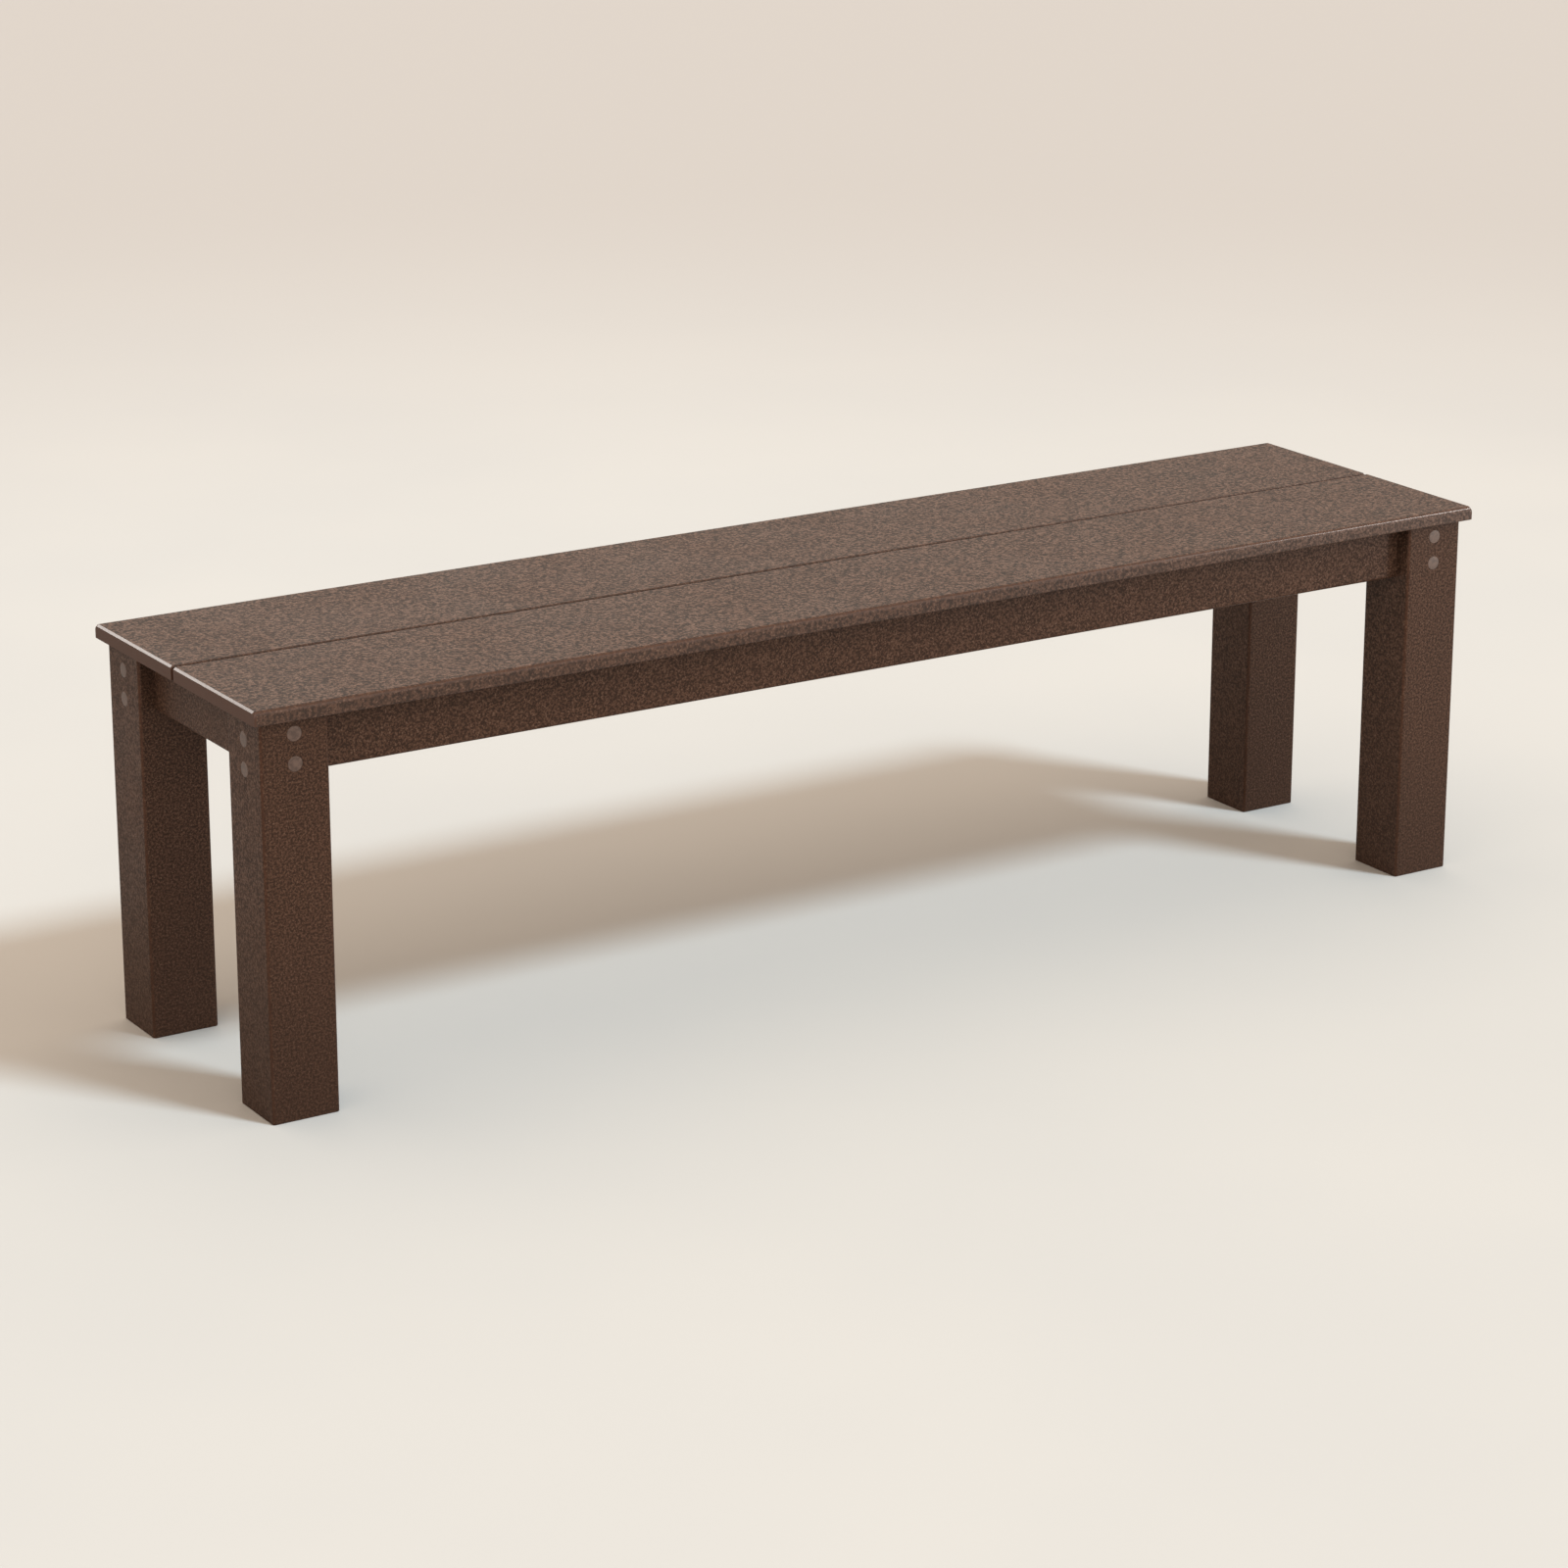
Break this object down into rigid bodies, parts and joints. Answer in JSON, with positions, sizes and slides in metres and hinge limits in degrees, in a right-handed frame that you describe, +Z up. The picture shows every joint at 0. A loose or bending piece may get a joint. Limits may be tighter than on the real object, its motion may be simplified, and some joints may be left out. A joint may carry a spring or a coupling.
{
  "type": "bench",
  "caption": "Backless garden bench of plastic lumber: two long seat slats on four square legs joined by aprons, with round plug caps over its screws.",
  "frame": {"origin": "on the floor, under the middle of the seat", "axes": "+X along the bench, +Y to its rear, +Z up; the bench is the same from front and rear"},
  "size_m": [1.5684, 0.3874, 0.4445],
  "materials": {
    "plastic_lumber": "pebbled dark brown plastic lumber, coloured right through, satin",
    "plug_cap": "smooth moulded brown plastic, slightly lighter than the lumber",
    "stainless_steel": "plain stainless steel"
  },
  "bodies": {
    "root": {"apron_front": "plastic_lumber", "apron_left": "plastic_lumber", "apron_rear": "plastic_lumber", "apron_right": "plastic_lumber", "bracket_left_front": "stainless_steel", "bracket_left_rear": "stainless_steel", "bracket_middle_front": "stainless_steel", "bracket_middle_rear": "stainless_steel", "bracket_right_front": "stainless_steel", "bracket_right_rear": "stainless_steel", "bracket_screws_left": "stainless_steel", "bracket_screws_middle": "stainless_steel", "bracket_screws_right": "stainless_steel", "cross_support_left": "plastic_lumber", "cross_support_middle": "plastic_lumber", "cross_support_right": "plastic_lumber", "lag_screws_front_left": "stainless_steel", "lag_screws_front_right": "stainless_steel", "lag_screws_rear_left": "stainless_steel", "lag_screws_rear_right": "stainless_steel", "leg_front_left": "plastic_lumber", "leg_front_right": "plastic_lumber", "leg_rear_left": "plastic_lumber", "leg_rear_right": "plastic_lumber", "plug_caps_front_left": "plug_cap", "plug_caps_front_right": "plug_cap", "plug_caps_rear_left": "plug_cap", "plug_caps_rear_right": "plug_cap", "seat_slat_front": "plastic_lumber", "seat_slat_rear": "plastic_lumber", "slat_screws_end_left": "stainless_steel", "slat_screws_end_right": "stainless_steel", "slat_screws_left": "stainless_steel", "slat_screws_middle": "stainless_steel", "slat_screws_right": "stainless_steel", "washers_front_left": "stainless_steel", "washers_front_right": "stainless_steel", "washers_rear_left": "stainless_steel", "washers_rear_right": "stainless_steel"}
  },
  "joints": []
}
